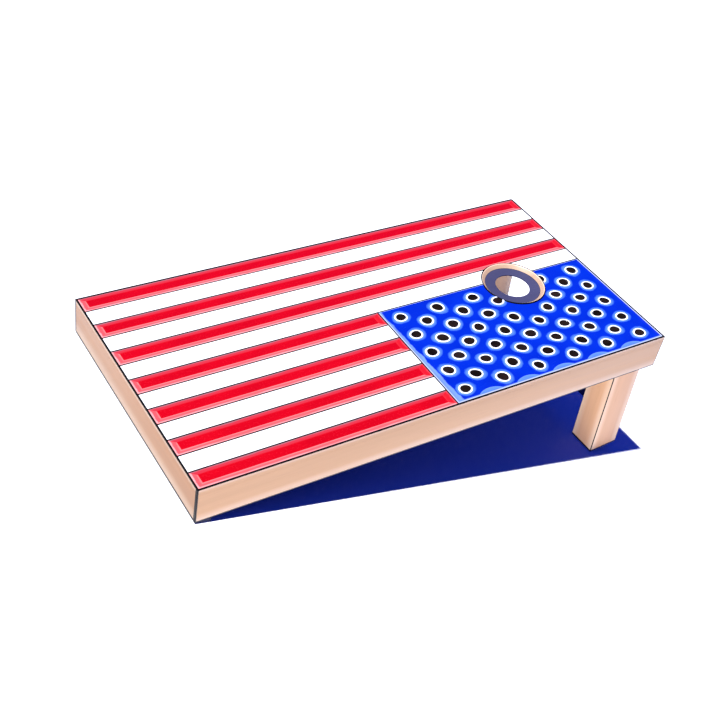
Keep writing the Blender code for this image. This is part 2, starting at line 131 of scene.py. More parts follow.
def board_placing():
    """u along the deck from its low end, v across it, w up from the rails' bottom edge."""
    turn = Matrix.Rotation(-TILT, 4, "Y")
    low, _ = span("end_rail_low", turn)
    return turn @ Matrix.Translation((low.x, 0.0, low.z))


PLAY_AXIS = mount_axis("playing_face")
TILT = math.atan2(-PLAY_AXIS.x, PLAY_AXIS.z)
BOARD = board_placing()
HINGE = BOARD.inverted() @ joint_place("leg_fold")
PIVOT = Matrix.Translation((HINGE.x, 0.0, HINGE.z))
LEGS = BOARD @ PIVOT @ Matrix.Rotation(-LEG_SPLAY, 4, "Y") @ PIVOT.inverted()
LENGTH = span("end_rail_high", BOARD)[1].x
HALF = span("end_rail_low", BOARD)[1].y + MITRE_BACKOFF
RAIL_DEPTH = span("side_rail_near", BOARD)[1].z
RAIL_THICK = span("end_rail_low", BOARD)[1].x
TOP = span("hole_collar", BOARD)[1].z
SUNK = TOP - TROUGH_DEPTH
HOLE_U = sum(corner.x for corner in span("hole_collar", BOARD)) / 2
CANTON_LOW, CANTON_HIGH = span("star_panel", BOARD)


# ---- shader helper ----------------------------------------------------------------------------
def tint(red, green, blue):
    """A linear colour."""
    return (red, green, blue, 1.0)


def srgb(red, green, blue):
    """Linear colour from 8-bit display values."""
    out = []
    for value in (red, green, blue):
        value = value / 255
        out.append(value / 12.92 if value <= 0.04045 else ((value + 0.055) / 1.055) ** 2.4)
    return tint(*out)


class Shader:
    """A Principled material and short calls for its nodes."""

    def __init__(self, name, placing=None):
        self.material = bpy.data.materials.new(name)
        self.material.use_nodes = True
        self.tree = self.material.node_tree
        self.nodes = self.tree.nodes
        self.main = self.nodes["Principled BSDF"]
        self.placing = placing or BOARD
        self.place = None

    def link(self, source, target):
        """Join an output to an input, or put a plain value on it."""
        if isinstance(source, (int, float, tuple)):
            target.default_value = source
        else:
            self.tree.links.new(source, target)

    def board(self):
        """Coordinates along, across and up from the piece's own frame, in metres."""
        if self.place is None:
            back = self.placing.inverted()
            source = self.nodes.new("ShaderNodeTexCoord")
            turn = self.nodes.new("ShaderNodeMapping")
            turn.inputs["Rotation"].default_value = back.to_euler()
            turn.inputs["Location"].default_value = back.translation
            self.link(source.outputs["Object"], turn.inputs["Vector"])
            self.place = turn.outputs["Vector"]
        return self.place

    def axis(self, index):
        """One of the three coordinates, 0 along, 1 across or 2 up."""
        split = self.nodes.new("ShaderNodeSeparateXYZ")
        self.link(self.board(), split.inputs["Vector"])
        return split.outputs[index]

    def noise(self, scale, detail=4.0, rough=0.55, shift=(0.0, 0.0, 0.0)):
        """Cloudy noise with its own scale along each axis."""
        step = self.nodes.new("ShaderNodeMapping")
        step.inputs["Scale"].default_value = scale
        step.inputs["Location"].default_value = shift
        self.link(self.board(), step.inputs["Vector"])
        made = self.nodes.new("ShaderNodeTexNoise")
        made.inputs["Scale"].default_value = 1.0
        made.inputs["Detail"].default_value = detail
        made.inputs["Roughness"].default_value = rough
        self.link(step.outputs["Vector"], made.inputs["Vector"])
        return made.outputs["Fac"]

    def ramp(self, source, stops):
        """Colour from a value; stops are (value, colour)."""
        made = self.nodes.new("ShaderNodeValToRGB")
        band = made.color_ramp
        while len(band.elements) < len(stops):
            band.elements.new(0.5)
        for element, (place, colour) in zip(band.elements, stops):
            element.position = place
            element.color = colour
        self.link(source, made.inputs["Fac"])
        return made.outputs["Color"]

    def span(self, source, low, high, to_low=0.0, to_high=1.0):
        """Carry the range low..high over to to_low..to_high, clamped."""
        made = self.nodes.new("ShaderNodeMapRange")
        ends = {"From Min": low, "From Max": high, "To Min": to_low, "To Max": to_high}
        for name, value in ends.items():
            made.inputs[name].default_value = value
        self.link(source, made.inputs["Value"])
        return made.outputs["Result"]

    def math(self, operation, first, second=0.0):
        """One arithmetic step."""
        made = self.nodes.new("ShaderNodeMath")
        made.operation = operation
        self.link(first, made.inputs[0])
        self.link(second, made.inputs[1])
        return made.outputs["Value"]

    def mix(self, factor, first, second):
        """Blend two colours."""
        made = self.nodes.new("ShaderNodeMix")
        made.data_type = "RGBA"
        self.link(factor, made.inputs[0])
        self.link(first, made.inputs[6])
        self.link(second, made.inputs[7])
        return made.outputs[2]

    def sum(self, *parts):
        """Weighted sum of several outputs, given as (weight, output)."""
        total = None
        for weight, part in parts:
            scaled = self.math("MULTIPLY", part, weight)
            total = scaled if total is None else self.math("ADD", total, scaled)
        return total

    def finish(self, colour, rough, height=None, depth=0.0001, **values):
        """Join colour, roughness and relief to the surface, and set its other values."""
        self.link(colour, self.main.inputs["Base Color"])
        self.link(rough, self.main.inputs["Roughness"])
        for key, value in values.items():
            self.main.inputs[key.replace("_", " ")].default_value = value
        if height is not None:
            made = self.nodes.new("ShaderNodeBump")
            made.inputs["Distance"].default_value = depth
            self.link(height, made.inputs["Height"])
            self.link(made.outputs["Normal"], self.main.inputs["Normal"])
        return self.material

    def painted(self, colour, rough, scale=70, coat=0.15, coat_rough=0.15, shine=0.25):
        """Finish as thick glossy paint with a faint ripple."""
        ripple = self.noise((scale, scale, scale), detail=2)
        return self.finish(colour, rough, ripple, RIPPLE_DEPTH, Coat_Weight=coat,
                           Coat_Roughness=coat_rough, Specular_IOR_Level=shine)


# ---- materials --------------------------------------------------------------------------------
def enamel(name, dark, light, gloss=0.24, coat=0.15, shine=0.25):
    """Thick paint that varies a little in tone."""
    shader = Shader(name)
    cloud = shader.noise((9, 14, 9), detail=3)
    fine = shader.noise((160, 160, 160), detail=2)
    tone = shader.sum((0.8, cloud), (0.2, fine))
    colour = shader.ramp(tone, ((0.35, dark), (0.65, light)))
    rough = shader.span(fine, 0.3, 0.7, gloss * 0.85, gloss * 1.25)
    return shader.painted(colour, rough, coat=coat, shine=shine)


def painted_light_slope(name, rim, middle, foot):
    """Paint on a sloping border of a red slat, with painted highlight and shade: its tone changes down the slope
    from rim to foot.
    """
    shader = Shader(name)
    cloud = shader.noise((18, 90, 90), detail=4)
    down = shader.span(shader.axis(2), TOP, SUNK)
    wobbly = shader.math("ADD", down, shader.span(cloud, 0.3, 0.7, -0.12, 0.12))
    colour = shader.ramp(wobbly, ((0.04, rim), (0.22, middle), (0.74, middle), (0.92, foot)))
    rough = shader.span(cloud, 0.3, 0.7, 0.20, 0.34)
    return shader.painted(colour, rough)


def blue_field(name):
    """Blue paint with a painted highlight: it pales in a wavy band along the panel's low and near borders."""
    shader = Shader(name)
    across = shader.axis(1)
    along = shader.axis(0)
    cloud = shader.noise((10, 14, 10), detail=3)
    wave = shader.noise((20, 30, 20), detail=2, shift=(4.0, 1.0, 2.0))
    deep_stops = ((0.35, tint(0.0003, 0.014, 0.34)), (0.65, tint(0.0004, 0.019, 0.39)))
    deep = shader.ramp(cloud, deep_stops)
    # Painted highlight: a paler band along the low border, widest at the near side, and a narrow one along the
    # near border.
    reach = shader.span(across, CANTON_LOW.y, CANTON_HIGH.y, 0.0190, 0.0060)
    reach = shader.math("ADD", reach, shader.span(wave, 0.3, 0.7, -0.0035, 0.0035))
    inward = shader.math("SUBTRACT", along, CANTON_LOW.x)
    low_border_highlight = shader.span(shader.math("SUBTRACT", reach, inward), -0.0014, 0.0014)
    from_near = shader.math("SUBTRACT", across, CANTON_LOW.y)
    from_high = shader.math("SUBTRACT", CANTON_HIGH.x, along)
    near_border_highlight = shader.span(from_near, 0.0062, 0.0042)
    pale = shader.math("MAXIMUM", low_border_highlight, near_border_highlight)
    light = shader.ramp(cloud, ((0.35, tint(0.12, 0.21, 0.56)), (0.65, tint(0.15, 0.26, 0.62))))
    colour = shader.mix(pale, deep, light)
    rim = shader.math("MINIMUM", shader.math("MINIMUM", inward, from_near), from_high)
    colour = shader.mix(shader.span(rim, 0.0030, 0.0022), colour, tint(0.38, 0.43, 0.60))
    rough = shader.span(wave, 0.3, 0.7, 0.20, 0.30)
    return shader.painted(colour, rough, scale=80, coat_rough=0.12)


def blue_halo_highlight(name):
    """Blue paint that pales as it climbs a ring: a painted highlight on the paint's meniscus."""
    shader = Shader(name)
    lift = shader.span(shader.axis(2), SUNK, SUNK + 0.0016)
    cloud = shader.noise((45, 45, 45), detail=3)
    mixed = shader.math("ADD", lift, shader.span(cloud, 0.3, 0.7, -0.14, 0.14))
    stops = (
        (0.0, tint(0.002, 0.026, 0.38)),
        (0.10, tint(0.022, 0.080, 0.43)),
        (0.30, tint(0.050, 0.130, 0.46)),
        (0.80, tint(0.095, 0.200, 0.50)),
    )
    colour = shader.ramp(mixed, stops)
    return shader.painted(colour, 0.24, scale=80, coat_rough=0.12)


def stretched(axis, across, along):
    """A noise scale that runs long along one axis."""
    scale = [across, across, across]
    scale[axis] = along
    return tuple(scale)


def edge_highlight_mask(shader, edges):
    """Mask of the painted highlight near a piece's arrises; each is (axis, low, high, reach at low, reach at
    high).
    """
    nearness = None
    for axis, low, high, reach_low, reach_high in edges:
        place = shader.math("ABSOLUTE", shader.axis(axis))
        at_low = shader.span(place, low + reach_low, low + reach_low * 0.3)
        at_high = shader.span(place, high - reach_high, high - reach_high * 0.3)
        step = shader.math("MAXIMUM", at_low, at_high)
        nearness = step if nearness is None else shader.math("MINIMUM", nearness, step)
    return nearness


def inked(shader, colour, lines):
    """Thin dark lines painted along a board's outer edges; each is (axis, low, high, width)."""
    for axis, low, high, width in lines:
        place = shader.math("ABSOLUTE", shader.axis(axis))
        at_low = shader.span(place, low + width + LINE_SOFT, low + width - LINE_SOFT)
        at_high = shader.span(place, high - width - LINE_SOFT, high - width + LINE_SOFT)
        inside = shader.math("MAXIMUM", at_low, at_high)
        colour = shader.mix(inside, colour, tint(0.004, 0.003, 0.004))
    return colour


def wood(name, axis, shade, light, highlight_colour=None, edges=(), placing=None, lines=(), shine=0.5):
    """Pale lacquered wood with a quiet grain along one axis and a painted highlight along its arrises."""
    shader = Shader(name, placing)
    grain = shader.noise(stretched(axis, 70.0, 2.6), detail=6, rough=0.6)
    figure = shader.noise(stretched(axis, 16.0, 0.9), detail=3, shift=(3.1, 7.7, 1.9))
    pores = shader.noise(stretched(axis, 420.0, 14.0), detail=2)
    tone = shader.sum((0.5, grain), (0.5, figure))
    base = shader.ramp(tone, ((0.36, shade), (0.64, light)))
    dots = shader.span(pores, 0.30, 0.42, 0.14, 0.0)
    base = shader.mix(dots, base, tint(0.46, 0.20, 0.12))
    if edges:
        wobble = shader.noise(stretched(axis, 60.0, 6.0), detail=2)
        highlight_mask = edge_highlight_mask(shader, edges)
        band = shader.math("MULTIPLY", highlight_mask, shader.span(wobble, 0.25, 0.75, 0.6, 1.0))
        base = shader.mix(band, base, highlight_colour)
    base = inked(shader, base, lines)
    rough = shader.span(grain, 0.3, 0.7, 0.36, 0.52)
    relief = shader.sum((1.0, grain), (0.5, pores))
    return shader.finish(base, rough, relief, 0.00012, Coat_Weight=shine * 0.2, Coat_Roughness=0.3,
                         Specular_IOR_Level=shine)


def painted_highlight_edge(name, dark, light):
    """Paler, smoother wood on a rounded edge: a painted highlight."""
    shader = Shader(name)
    cloud = shader.noise((40, 90, 90), detail=4)
    colour = shader.ramp(cloud, ((0.35, dark), (0.65, light)))
    rough = shader.span(cloud, 0.3, 0.7, 0.34, 0.50)
    return shader.finish(colour, rough, shader.noise((30, 300, 300), detail=3), 0.0001)


def painted_wood(name, dark, light, axis=0, rough=0.65):
    """Satin paint over softwood: the grain shows through as a faint relief."""
    shader = Shader(name)
    grain = shader.noise(stretched(axis, 90.0, 3.0), detail=6, rough=0.6)
    cloud = shader.noise((8, 8, 8), detail=3)
    scuff = shader.noise((34, 34, 34), detail=6, rough=0.7, shift=(5.0, 2.0, 8.0))
    base = shader.ramp(shader.sum((0.4, grain), (0.6, cloud)), ((0.36, dark), (0.64, light)))
    base = shader.mix(shader.span(scuff, 0.66, 0.80, 0.0, 0.12), base, srgb(66, 72, 118))
    gloss = shader.span(grain, 0.3, 0.7, rough - 0.07, rough + 0.10)
    return shader.finish(base, gloss, grain, 0.00016, Specular_IOR_Level=0.05)


def metal(name, dark, light, rough=0.30):
    """Turned or plated metal with fine tool lines."""
    shader = Shader(name)
    lines = shader.noise((500, 30, 500), detail=3)
    cloud = shader.noise((60, 60, 60), detail=3, shift=(2.0, 9.0, 4.0))
    colour = shader.ramp(shader.sum((0.5, lines), (0.5, cloud)), ((0.35, dark), (0.65, light)))
    gloss = shader.span(cloud, 0.3, 0.7, rough - 0.07, rough + 0.12)
    return shader.finish(colour, gloss, lines, 0.00003, Metallic=1.0)


def plastic(name):
    """Moulded black plastic with a fine grain."""
    shader = Shader(name)
    grain = shader.noise((900, 900, 900), detail=2)
    cloud = shader.noise((50, 50, 50), detail=3)
    colour = shader.ramp(cloud, ((0.35, srgb(24, 24, 27)), (0.65, srgb(40, 40, 44))))
    return shader.finish(colour, shader.span(grain, 0.3, 0.7, 0.36, 0.55), grain, 0.00005)


def rubber(name):
    """Matt navy rubber, dusty on its high spots."""
    shader = Shader(name)
    grain = shader.noise((500, 500, 500), detail=3)
    dust = shader.noise((45, 45, 45), detail=5, shift=(1.0, 4.0, 6.0))
    base = shader.ramp(grain, ((0.3, srgb(22, 27, 58)), (0.7, srgb(36, 42, 80))))
    base = shader.mix(shader.span(dust, 0.5, 0.8, 0.0, 0.35), base, srgb(104, 106, 124))
    return shader.finish(base, shader.span(dust, 0.3, 0.7, 0.66, 0.9), grain, 0.00012)


def plywood(name):
    """Raw ply: thin layers seen on its edges."""
    shader = Shader(name)
    layers = shader.nodes.new("ShaderNodeTexWave")
    layers.bands_direction = "Z"
    layers.inputs["Scale"].default_value = 110.0
    layers.inputs["Distortion"].default_value = 0.6
    shader.link(shader.board(), layers.inputs["Vector"])
    grain = shader.noise((5, 120, 120), detail=5)
    mixed = shader.sum((0.45, layers.outputs["Fac"]), (0.55, grain))
    colour = shader.ramp(mixed, ((0.3, srgb(186, 148, 108)), (0.7, srgb(228, 200, 164))))
    rough = shader.span(grain, 0.3, 0.7, 0.5, 0.7)
    return shader.finish(colour, rough, grain, 0.0002)


def leg_highlight_bands(reach=0.020):
    """Where a leg's long arrises get a painted highlight."""
    low, high = span("leg_far", LEGS)
    return ((0, low.x, high.x, reach, reach), (1, low.y, high.y, reach, reach))


RED = enamel("red_enamel", tint(0.39, 0.0002, 0.0022), tint(0.45, 0.0005, 0.0032))
# The red slopes are lit and shaded copies of the red: painted highlight on the near and low slopes, painted shade
# on the far and high slopes.
RED_NEAR_PAINTED_HIGHLIGHT = painted_light_slope("red_enamel_near_slope_painted_highlight", tint(0.72, 0.26, 0.26), tint(0.60, 0.085, 0.085),
                     tint(0.66, 0.16, 0.155))
RED_FAR_PAINTED_SHADE = painted_light_slope("red_enamel_far_slope_painted_shade", tint(0.28, 0.10, 0.115), tint(0.45, 0.022, 0.036),
                    tint(0.46, 0.006, 0.012))
RED_LOW_PAINTED_HIGHLIGHT = painted_light_slope("red_enamel_low_slope_painted_highlight", tint(0.72, 0.30, 0.29), tint(0.58, 0.075, 0.080),
                    tint(0.64, 0.15, 0.145))
RED_HIGH_PAINTED_SHADE = painted_light_slope("red_enamel_high_slope_painted_shade", tint(0.50, 0.040, 0.050), tint(0.50, 0.006, 0.012),
                     tint(0.50, 0.012, 0.018))
WHITE = enamel("white_enamel", tint(0.83, 0.84, 0.82), tint(0.87, 0.88, 0.86), gloss=0.30)
BLUE = blue_field("blue_enamel")
BLUE_RIM = enamel("blue_enamel_rim", tint(0.30, 0.38, 0.62), tint(0.42, 0.50, 0.72))
BLUE_HALO_PAINTED_HIGHLIGHT = blue_halo_highlight("blue_enamel_halo_painted_highlight")
BLACK = enamel("black_enamel", tint(0.003, 0.0018, 0.0016), tint(0.016, 0.009, 0.008),
               gloss=0.6, coat=0.0, shine=0.02)
LINE = enamel("black_line", tint(0.0012, 0.001, 0.0012), tint(0.003, 0.0025, 0.003),
              gloss=0.6, coat=0.0)
RING_WHITE = enamel("ring_white", tint(0.86, 0.87, 0.89), tint(0.90, 0.90, 0.91), gloss=0.2)
TAN_DARK = tint(0.69, 0.375, 0.165)
TAN_LIGHT = tint(0.76, 0.435, 0.205)
# Painted highlight: paler bands along the tan boards' lower and upper edges and along the legs' long arrises.
TAN_PAINTED_HIGHLIGHT = tint(0.88, 0.62, 0.42)
SIDE_HIGHLIGHT_BANDS = ((2, 0.0, TOP, 0.024, 0.008),)
SIDE_LINES = ((2, 0.0, 1.0, 0.0042), (0, 0.0, LENGTH, 0.0030))
END_LINES = ((2, 0.0, 1.0, 0.0066), (1, -1.0, HALF, 0.0072))
TAN_U = wood("tan_wood_along", 0, TAN_DARK, TAN_LIGHT, TAN_PAINTED_HIGHLIGHT, SIDE_HIGHLIGHT_BANDS, lines=SIDE_LINES)
TAN_V = wood("tan_wood_across", 1, TAN_DARK, TAN_LIGHT, TAN_PAINTED_HIGHLIGHT, SIDE_HIGHLIGHT_BANDS, lines=END_LINES)
# Painted shade: a darker copy of the tan for the low-end board, which the key lights directly, with its own wider
# painted highlight along the lower edge.
TAN_LOW_PAINTED_SHADE = wood("tan_wood_low_end_painted_shade", 1, tint(0.37, 0.200, 0.105), tint(0.43, 0.240, 0.130),
               tint(0.53, 0.39, 0.27), ((2, 0.0, TOP, 0.036, 0.010),), lines=END_LINES, shine=0.12)
TAN_LEG = wood("tan_wood_leg", 2, tint(0.70, 0.39, 0.205), tint(0.77, 0.44, 0.245), TAN_PAINTED_HIGHLIGHT,
               leg_highlight_bands(), LEGS, shine=0.3)
# Painted shade: a darker copy of the tan for the collar, whose faces take the key light full on.
TAN_COLLAR_PAINTED_SHADE = wood("tan_wood_collar_painted_shade", 0, tint(0.47, 0.305, 0.19), tint(0.53, 0.35, 0.22))
PALE_HIGHLIGHT = painted_highlight_edge("tan_wood_edge_painted_highlight", tint(0.82, 0.56, 0.38), tint(0.88, 0.64, 0.46))
# Navy paint under the deck, on the frame's inner and bottom faces, the bracing, the leg rail and the backing ring:
# a second paint colour that is also painted shade for the dark space under the board; the backing ring gets a
# lighter navy copy.
NAVY_DARK = srgb(3, 8, 60)
NAVY_LIGHT = srgb(8, 14, 76)
NAVY_SHADE_PAINT = painted_wood("navy_shade_paint_along", NAVY_DARK, NAVY_LIGHT)
NAVY_SHADE_PAINT_ACROSS = painted_wood("navy_shade_paint_across", NAVY_DARK, NAVY_LIGHT, axis=1)
NAVY_RING_SHADE_PAINT = painted_wood("navy_shade_paint_ring", tint(0.042, 0.042, 0.092), tint(0.050, 0.050, 0.108),
                         rough=0.40)
ZINC = metal("zinc_plate", srgb(176, 180, 184), srgb(222, 225, 228))
BRASS = metal("brass_turned", srgb(196, 150, 66), srgb(236, 198, 112), rough=0.26)
PLASTIC = plastic("black_plastic")
RUBBER = rubber("navy_rubber")
PLY = plywood("raw_plywood")


# ---- mesh building ----------------------------------------------------------------------------
def add_object(name, data):
    """A new object in the scene."""
    made = bpy.data.objects.new(name, data)
    bpy.context.scene.collection.objects.link(made)
    return made


def emit(name, shape, slots, stands_for=(), body="board", placing=BOARD, sharp=32.0):
    """Finish a shape made in the axes of placing as a piece that rides on a body."""
    bmesh.ops.recalc_face_normals(shape, faces=shape.faces)
    bmesh.ops.transform(shape, matrix=placing, verts=shape.verts)
    mesh = bpy.data.meshes.new(name)
    shape.to_mesh(mesh)
    shape.free()
    for material in slots:
        mesh.materials.append(material)
    mesh.polygons.foreach_set("use_smooth", [True] * len(mesh.polygons))
    mesh.set_sharp_from_angle(angle=math.radians(sharp))
    piece = add_object(name, mesh)
    if stands_for:
        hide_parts(*stands_for)
    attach(piece, body)
    return piece


def loop_at(shape, points, direction, level):
    """Corners of an outline that lies across one axis, at a level of it."""
    loop = []
    for first, second in points:
        place = [first, second]
        place.insert(direction, level)
        loop.append(shape.verts.new(place))
    return loop


def join_loops(shape, lower, upper, mark=0):
    """Four-sided faces between two loops with as many corners."""
    faces = []
    for index in range(len(lower)):
        after = (index + 1) % len(lower)
        face = shape.faces.new((lower[index], lower[after], upper[after], upper[index]))
        face.material_index = mark
        faces.append(face)
    return faces


def prism(points, direction, start, end):
    """Sweep a closed outline along one axis."""
    shape = bmesh.new()
    lower = loop_at(shape, points, direction, start)
    upper = loop_at(shape, points, direction, end)
    shape.faces.new(lower)
    shape.faces.new(upper)
    join_loops(shape, lower, upper)
    bmesh.ops.recalc_face_normals(shape, faces=shape.faces)
    return shape


def box(low, high):
    """A block between two corners."""
    outline = [(low[0], low[1]), (high[0], low[1]), (high[0], high[1]), (low[0], high[1])]
    return prism(outline, 2, low[2], high[2])


def round_edges(shape, width, segments=3, keep=None, material=-1, angle=40.0):
    """Round the sharp edges that keep() accepts."""
    chosen = []
    for edge in shape.edges:
        if edge.calc_face_angle(0.0) < math.radians(angle):
            continue
        middle = (edge.verts[0].co + edge.verts[1].co) / 2
        along = (edge.verts[1].co - edge.verts[0].co).normalized()
        if keep is None or keep(middle, along):
            chosen.append(edge)
    bmesh.ops.bevel(shape, geom=chosen, offset=width, segments=segments, affect="EDGES",
                    profile=0.5, material=material, clamp_overlap=True)
    return shape


def paint_faces(shape, mark, accept):
    """Give a material index to the faces whose normal is accepted."""
    bmesh.ops.recalc_face_normals(shape, faces=shape.faces)
    shape.normal_update()
    for face in shape.faces:
        if accept(face.normal):
            face.material_index = mark


def circle(radius, count, centre):
    """Corners evenly round a centre."""
    points = []
    for index in range(count):
        angle = 2 * math.pi * index / count
        points.append((centre[0] + radius * math.cos(angle), centre[1] + radius * math.sin(angle)))
    return points


def turned(profile, axis, centre, count, marks=None):
    """Turn a closed (radius, level) outline about an axis; marks paint its steps."""
    shape = bmesh.new()
    loops = []
    for radius, level in profile:
        loops.append(loop_at(shape, circle(radius, count, centre), axis, level))
    for step, lower in enumerate(loops):
        upper = loops[(step + 1) % len(loops)]
        join_loops(shape, lower, upper, marks[step] if marks else 0)
    return shape


def cut(shape, cutter, mark, slots=8):
    """Subtract one shape from another; the cut's faces get a material index.

    Empty material slots let both shapes' indices come through.
    """
    for face in cutter.faces:
        face.material_index = mark
    objects = []
    for bm in (shape, cutter):
        bmesh.ops.recalc_face_normals(bm, faces=bm.faces)
        mesh = bpy.data.meshes.new("cutting")
        bm.to_mesh(mesh)
        bm.free()
        for _ in range(slots):
            mesh.materials.append(None)
        objects.append(add_object("cutting", mesh))
    change = objects[0].modifiers.new("cut", "BOOLEAN")
    change.operation = "DIFFERENCE"
    change.solver = "EXACT"
    change.object = objects[1]
    graph = bpy.context.evaluated_depsgraph_get()
    result = bmesh.new()
    result.from_mesh(objects[0].evaluated_get(graph).to_mesh())
    for made in objects:
        mesh = made.data
        bpy.data.objects.remove(made, do_unlink=True)
        bpy.data.meshes.remove(mesh)
    return result


def slope_steps(ease=0.12, parts=3):
    """Shares across and down a slope that starts and ends with a small fillet."""
    pitch = 1 / (1 - ease)
    steps = []
    for index in range(1, parts + 1):
        share = ease * index / parts
        steps.append((share, pitch * share * share / (2 * ease)))
    for index in range(parts, -1, -1):
        left = ease * index / parts
        steps.append((1 - left, 1 - pitch * left * left / (2 * ease)))
    return steps


def dished(low, high, rim, sides, end, depth, marks):
    """A block with a rounded rim and four slopes down to a sunk field.

    sides are the near and far slopes; marks give the material indices of the walls, the rims
    and the slopes, each as near, high, far and low.
    """
    walls, rims, slopes = marks
    levels = [
        (0.0, 0.0, 0.0, low[2], walls),
        (0.0, 0.0, 0.0, high[2] - SOFT, walls),
        (SOFT * 0.3, SOFT * 0.3, SOFT * 0.3, high[2] - SOFT * 0.3, rims),
        (SOFT, SOFT, SOFT, high[2], rims),
        (rim, rim, rim, high[2], rims),
    ]
    for share, drop in slope_steps():
        levels.append((rim + end * share, rim + sides[0] * share, rim + sides[1] * share,
                       high[2] - depth * drop, slopes))
    shape = bmesh.new()
    loops = []
    for inset_u, inset_near, inset_far, level, _ in levels:
        corners = (
            (low[0] + inset_u, low[1] + inset_near, level),
            (high[0] - inset_u, low[1] + inset_near, level),
            (high[0] - inset_u, high[1] - inset_far, level),
            (low[0] + inset_u, high[1] - inset_far, level),
        )
        loops.append([shape.verts.new(corner) for corner in corners])
    shape.faces.new(loops[0])
    shape.faces.new(loops[-1])
    for lower, upper, level in zip(loops, loops[1:], levels[1:]):
        for face, mark in zip(join_loops(shape, lower, upper), level[4]):
            face.material_index = mark
    return shape


def seat():
    """Cutter for the collar's round seat, through the deck and past its top."""
    return prism(circle(SEAT_R, HOLE_SIDES, (HOLE_U, 0.0)), 2, RAIL_DEPTH - 0.02, TOP + 0.01)


def crosses_seat(low, high):
    """Whether a block between two corners reaches the square round the seat."""
    beside_u = high.x > HOLE_U - SEAT_R and low.x < HOLE_U + SEAT_R
    return beside_u and low.y < SEAT_R and high.y > -SEAT_R


# ---- deck -------------------------------------------------------------------------------------
def make_red_slats():
    """Dished slats: black saw-cut walls, a bright floor, and slopes with painted highlight on the near and low
    sides and painted shade on the far and high sides.
    """
    slots = (RED, LINE, RED_NEAR_PAINTED_HIGHLIGHT, RED_HIGH_PAINTED_SHADE, RED_FAR_PAINTED_SHADE, RED_LOW_PAINTED_HIGHLIGHT)
    slopes = (2, 3, 4, 5)
    for number in range(1, 8):
        low, high = span(f"red_stripe_{number}", BOARD)
        shape = dished(low, high, TROUGH_RIM, (TROUGH_NEAR_SIDE, TROUGH_FAR_SIDE), TROUGH_END,
                       TROUGH_DEPTH, ((1, 1, 1, 1), slopes, slopes))
        if crosses_seat(low, high):
            shape = cut(shape, seat(), 1)
        emit(f"red_slat_{number}", shape, slots, (f"red_stripe_{number}",), sharp=8)


def make_white_slats():
    """Flat slats with softened edges and black saw-cut walls."""
    for label in ("1", "2", "3", "4_low", "4_high", "5", "6"):
        low, high = span(f"white_stripe_{label}", BOARD)
        if label == "4_low":
            high.x = HOLE_U
        if label == "4_high":
            low.x = HOLE_U
        shape = round_edges(box(low, high), 0.0006)
        paint_faces(shape, 1, lambda normal: normal.z < 0.3)
        if crosses_seat(low, high):
            shape = cut(shape, seat(), 1)
        emit(f"white_slat_{label}", shape, (WHITE, LINE), (f"white_stripe_{label}",))


def ring_centres():
    """Centre of each star ring, with its column and row."""
    pitch_v = (CANTON_HIGH.y - CANTON_LOW.y) / (RING_ROWS + 1)
    found = []
    for row in range(RING_ROWS):
        for column in range(row % 2, RING_COLUMNS, 2):
            if (column, row) not in RING_SKIP:
                centre = (RING_FIRST_U + column * RING_PITCH_U, CANTON_LOW.y + (row + 1) * pitch_v)
                found.append(((column, row), centre))
    return found


def halo_profile(outer, inner, floor, rise, steps=7):
    """Meniscus of paint that climbs from the floor to a ring's wall."""
    points = []
    for step in range(steps + 1):
        share = step / steps
        points.append((outer - (outer - inner) * share, floor + rise * share ** 1.6))
    return points


def ring_levels():
    """Radius, level, share of the halo's shift, wobble and paint of a star ring's loops."""
    crown = TOP + CROWN_LIFT
    levels = [(HALO_R, SUNK - SKIRT_DEPTH, 1.0, 0.07, 0)]
    for radius, level in halo_profile(HALO_R, STAR_R + 0.0002, SUNK + PAINT_LIFT, 0.0016):
        share = (radius - STAR_R) / (HALO_R - STAR_R)
        levels.append((radius, level, share, 0.02 + 0.05 * share, 0))
    middle = (STAR_R + PIT_R) / 2
    half = (STAR_R - PIT_R) / 2
    for step in range(9):
        angle = math.pi * step / 8
        level = crown - 0.0005 + 0.0005 * math.sin(angle)
        levels.append((middle + half * math.cos(angle), level, 0.0, 0.02 + 0.005 * step, 1))
    levels.append((PIT_R - 0.0002, crown - 0.0012, 0.0, 0.06, 2))
    levels.append((PIT_R - 0.0012, crown - 0.0016, 0.0, 0.06, 2))
    return levels


def chance(place, salt):
    """A fixed pseudo-random share for one ring."""
    return math.sin(place[0] * 12.9898 + place[1] * 78.233 + salt * 37.719) * 43758.5453 % 1.0


def star_ring(shape, place, centre, count=44):
    """One hand-poured ring: a halo with a painted highlight, a white crown and a black pit, none quite round."""
    size = RING_LEAST + RING_SPREAD * chance(place, 1)
    wide, deep = RING_ALONG * size, RING_ACROSS * size
    turns = (2 * math.pi * chance(place, 2), 2 * math.pi * chance(place, 3))
    loops = []
    for radius, level, share, wobble, mark in ring_levels():
        loop = []
        for index in range(count):
            angle = 2 * math.pi * index / count
            uneven = math.sin(2 * angle + turns[0]) + 0.5 * math.sin(3 * angle + turns[1])
            reach = radius * (1 + wobble * uneven)
            along = share * HALO_SHIFT[0] + wide * reach * math.cos(angle)
            across = share * HALO_SHIFT[1] + deep * reach * math.sin(angle)
            loop.append(shape.verts.new((centre[0] + along, centre[1] + across, level)))
        loops.append((loop, mark))
    shape.faces.new(loops[0][0])
    shape.faces.new(loops[-1][0]).material_index = 2
    for (lower, _), (upper, mark) in zip(loops, loops[1:]):
        join_loops(shape, lower, upper, mark)


